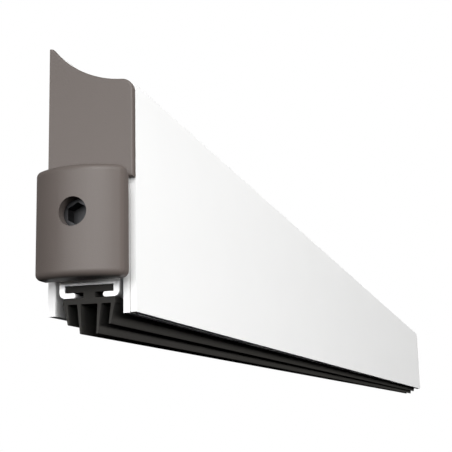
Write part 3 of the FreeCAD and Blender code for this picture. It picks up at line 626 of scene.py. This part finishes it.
class DOORSEAL_OT_make_gasket(Operator):
    """Extrude the finned rubber gasket with rounded corners"""

    bl_idname = "doorseal.make_gasket"
    bl_label = "Make gasket"

    def execute(self, context):
        sizes = context.scene.gasket_sizes
        low, high = GASKET_BOX
        middle = (low.y + high.y) / 2
        half = gasket_half(sizes)
        loop = [(middle + across, up) for across, up in half]
        loop += [(middle - across, up) for across, up in reversed(half)]
        shape = bmesh.new()
        corners = [shape.verts.new((low.x, across, up)) for across, up in loop]
        shape.faces.new(corners)
        bmesh.ops.bevel(shape, geom=list(shape.verts), offset=sizes.corner, offset_type="OFFSET",
                        affect="VERTICES", segments=sizes.corner_steps, profile=0.5, material=-1)
        grown = bmesh.ops.extrude_face_region(shape, geom=list(shape.faces), use_keep_orig=True)
        far = [item for item in grown["geom"] if isinstance(item, bmesh.types.BMVert)]
        bmesh.ops.translate(shape, verts=far, vec=(high.x - low.x, 0.0, 0.0))
        bmesh.ops.recalc_face_normals(shape, faces=list(shape.faces))
        ends = [face for face in shape.faces if len(face.verts) > 4]
        bmesh.ops.triangulate(shape, faces=ends)
        rubber = extruded_rubber("Black rubber", context.scene.seal_colours.rubber_black)
        piece = new_piece("rubber_gasket", shape, rubber)
        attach(piece, "carrier")
        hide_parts("gasket")
        return {"FINISHED"}


def pale_floor(shade):
    """Plain matt floor, nearly white where it is seen and clear from below."""
    material, tree, shader = new_material("Pale floor", roughness=0.9, specular=0.1)
    skin = place_group(tree, skin_group(), 0, Grains_per_metre=40.0)
    grain = skin.outputs["Grain"]
    tone = shade_between(tree, grain, dark=times(shade, 0.99), light=shade, row=0)
    wire(tree, tone.outputs["Result"], shader.inputs["Base Color"])
    ray = add_node(tree, "ShaderNodeLightPath", 4, 3)
    share = add_node(tree, "ShaderNodeMath", 5, 3, operation="MULTIPLY")
    share.inputs[1].default_value = FLOOR_GLOW
    white = add_node(tree, "ShaderNodeEmission", 5, 4)
    lit = add_node(tree, "ShaderNodeMixShader", 6, 2)
    side = add_node(tree, "ShaderNodeNewGeometry", 6, 3)
    clear = add_node(tree, "ShaderNodeBsdfTransparent", 6, 4)
    seen = add_node(tree, "ShaderNodeMixShader", 7, 2)
    leave = tree.nodes["Material Output"]
    leave.location = (NODE_STEP * 8, 0)
    wire(tree, ray.outputs["Is Camera Ray"], share.inputs[0])
    wire(tree, share.outputs["Value"], lit.inputs["Fac"])
    wire(tree, shader.outputs["BSDF"], lit.inputs[1])
    wire(tree, white.outputs["Emission"], lit.inputs[2])
    wire(tree, side.outputs["Backfacing"], seen.inputs["Fac"])
    wire(tree, lit.outputs["Shader"], seen.inputs[1])
    wire(tree, clear.outputs["BSDF"], seen.inputs[2])
    wire(tree, seen.outputs["Shader"], leave.inputs["Surface"])
    return material


def white_surround(scene, shade, strength):
    """Plain white where the camera sees it, and an even light from above."""
    world = bpy.data.worlds.new("Studio")
    world.use_nodes = True
    tree = world.node_tree
    tree.nodes.clear()
    ray = add_node(tree, "ShaderNodeLightPath", 0, 0)
    place = add_node(tree, "ShaderNodeTexCoord", 0, 1)
    split = add_node(tree, "ShaderNodeSeparateXYZ", 1, 1)
    above = add_node(tree, "ShaderNodeMapRange", 2, 1)
    above.inputs["From Min"].default_value = SKY_FOOT
    above.inputs["From Max"].default_value = SKY_TOP
    above.inputs["To Min"].default_value = 0.0
    above.inputs["To Max"].default_value = strength
    even = add_node(tree, "ShaderNodeBackground", 3, 1)
    even.inputs["Color"].default_value = (*shade, 1.0)
    white = add_node(tree, "ShaderNodeBackground", 3, 2)
    white.inputs["Color"].default_value = (1.0, 1.0, 1.0, 1.0)
    mix = add_node(tree, "ShaderNodeMixShader", 4, 0)
    leave = add_node(tree, "ShaderNodeOutputWorld", 5, 0)
    wire(tree, ray.outputs["Is Camera Ray"], mix.inputs["Fac"])
    wire(tree, place.outputs["Generated"], split.inputs["Vector"])
    wire(tree, split.outputs["Z"], above.inputs["Value"])
    wire(tree, above.outputs["Result"], even.inputs["Strength"])
    wire(tree, even.outputs["Background"], mix.inputs[1])
    wire(tree, white.outputs["Background"], mix.inputs[2])
    wire(tree, mix.outputs["Shader"], leave.inputs["Surface"])
    scene.world = world


def soft_lamp(name, place, aim, width, height, watts, shine):
    """A flat lamp that points at a place, with or without a reflection of itself."""
    light = bpy.data.lights.new(name, "AREA")
    light.shape = "RECTANGLE"
    light.size = width
    light.size_y = height
    light.energy = watts
    lamp = bpy.data.objects.new(name, light)
    lamp.visible_glossy = shine
    lamp.location = place
    lamp.rotation_mode = "QUATERNION"
    lamp.rotation_quaternion = (Vector(aim) - Vector(place)).to_track_quat("-Z", "Y")
    bpy.context.scene.collection.objects.link(lamp)


class DOORSEAL_OT_set_stage(Operator):
    """Lay the floor, hang the lamps and set up the camera"""

    bl_idname = "doorseal.set_stage"
    bl_label = "Set stage"

    def execute(self, context):
        scene = context.scene
        sizes = scene.stage_sizes
        shape = bmesh.new()
        bmesh.ops.create_grid(shape, x_segments=1, y_segments=1, size=sizes.floor_side / 2)
        level = CAD_BOX[0].z - sizes.floor_drop
        bmesh.ops.translate(shape, verts=list(shape.verts), vec=(0.0, 0.0, level))
        floor = new_piece("floor", shape, pale_floor(sizes.floor_white))
        floor.visible_diffuse = False
        floor.visible_glossy = False
        white_surround(scene, sizes.floor_white, sizes.surround)
        near_end = Vector((CAD_BOX[0].x, 0.0, 0.0))
        soft_lamp("front_lamp", sizes.front_place, near_end, sizes.front_width, sizes.front_height,
                  sizes.front_power, shine=True)
        soft_lamp("near_lamp", sizes.near_place, near_end, sizes.near_width, sizes.near_height,
                  sizes.near_power, shine=False)
        soft_lamp("side_lamp", sizes.side_place, Vector(), sizes.side_width, sizes.side_height,
                  sizes.side_power, shine=False)
        soft_lamp("top_lamp", sizes.top_place, Vector(), sizes.top_side, sizes.top_side,
                  sizes.top_power, shine=True)
        soft_lamp("back_lamp", sizes.back_place, Vector(), sizes.back_side, sizes.back_side,
                  sizes.back_power, shine=False)
        view = bpy.data.cameras.new("camera")
        view.sensor_width = SENSOR_WIDTH
        view.lens = sizes.lens
        view.clip_start = NEAREST_SEEN
        camera = bpy.data.objects.new("camera", view)
        place = Vector(sizes.camera_place)
        upright = (Vector(sizes.camera_aim) - place).to_track_quat("-Z", "Y")
        camera.location = place
        camera.rotation_mode = "QUATERNION"
        camera.rotation_quaternion = upright @ Quaternion((0.0, 0.0, 1.0), -sizes.camera_roll)
        scene.collection.objects.link(camera)
        scene.camera = camera
        scene.view_settings.view_transform = "Standard"
        return {"FINISHED"}


STEPS = (
    DOORSEAL_OT_finish_cover,
    DOORSEAL_OT_finish_profile,
    DOORSEAL_OT_finish_caps,
    DOORSEAL_OT_finish_guides,
    DOORSEAL_OT_finish_carrier,
    DOORSEAL_OT_finish_linkage,
    DOORSEAL_OT_finish_screws,
    DOORSEAL_OT_make_spring,
    DOORSEAL_OT_make_gasket,
    DOORSEAL_OT_set_stage,
)


class DOORSEAL_PT_panel(Panel):
    """Steps and sizes of the door bottom seal"""

    bl_idname = "DOORSEAL_PT_panel"
    bl_label = "Door bottom seal"
    bl_space_type = "VIEW_3D"
    bl_region_type = "UI"
    bl_category = "Door seal"

    def draw(self, context):
        layout = self.layout
        for step in STEPS:
            layout.operator(step.bl_idname)
        scene = context.scene
        groups = (scene.seal_colours, scene.gasket_sizes, scene.spring_sizes, scene.stage_sizes)
        for group in groups:
            box = layout.box()
            for name in group.__annotations__:
                box.prop(group, name)


CLASSES = (SealColours, GasketSizes, SpringSizes, StageSizes, *STEPS, DOORSEAL_PT_panel)


def register():
    for item in CLASSES:
        bpy.utils.register_class(item)
    bpy.types.Scene.seal_colours = PointerProperty(type=SealColours)
    bpy.types.Scene.gasket_sizes = PointerProperty(type=GasketSizes)
    bpy.types.Scene.spring_sizes = PointerProperty(type=SpringSizes)
    bpy.types.Scene.stage_sizes = PointerProperty(type=StageSizes)


def unregister():
    del bpy.types.Scene.stage_sizes
    del bpy.types.Scene.spring_sizes
    del bpy.types.Scene.gasket_sizes
    del bpy.types.Scene.seal_colours
    for item in reversed(CLASSES):
        bpy.utils.unregister_class(item)


def main():
    register()
    bpy.ops.doorseal.finish_cover()
    bpy.ops.doorseal.finish_profile()
    bpy.ops.doorseal.finish_caps()
    bpy.ops.doorseal.finish_guides()
    bpy.ops.doorseal.finish_carrier()
    bpy.ops.doorseal.finish_linkage()
    bpy.ops.doorseal.finish_screws()
    bpy.ops.doorseal.make_spring()
    bpy.ops.doorseal.make_gasket()
    bpy.ops.doorseal.set_stage()


if __name__ == "__main__":
    main()
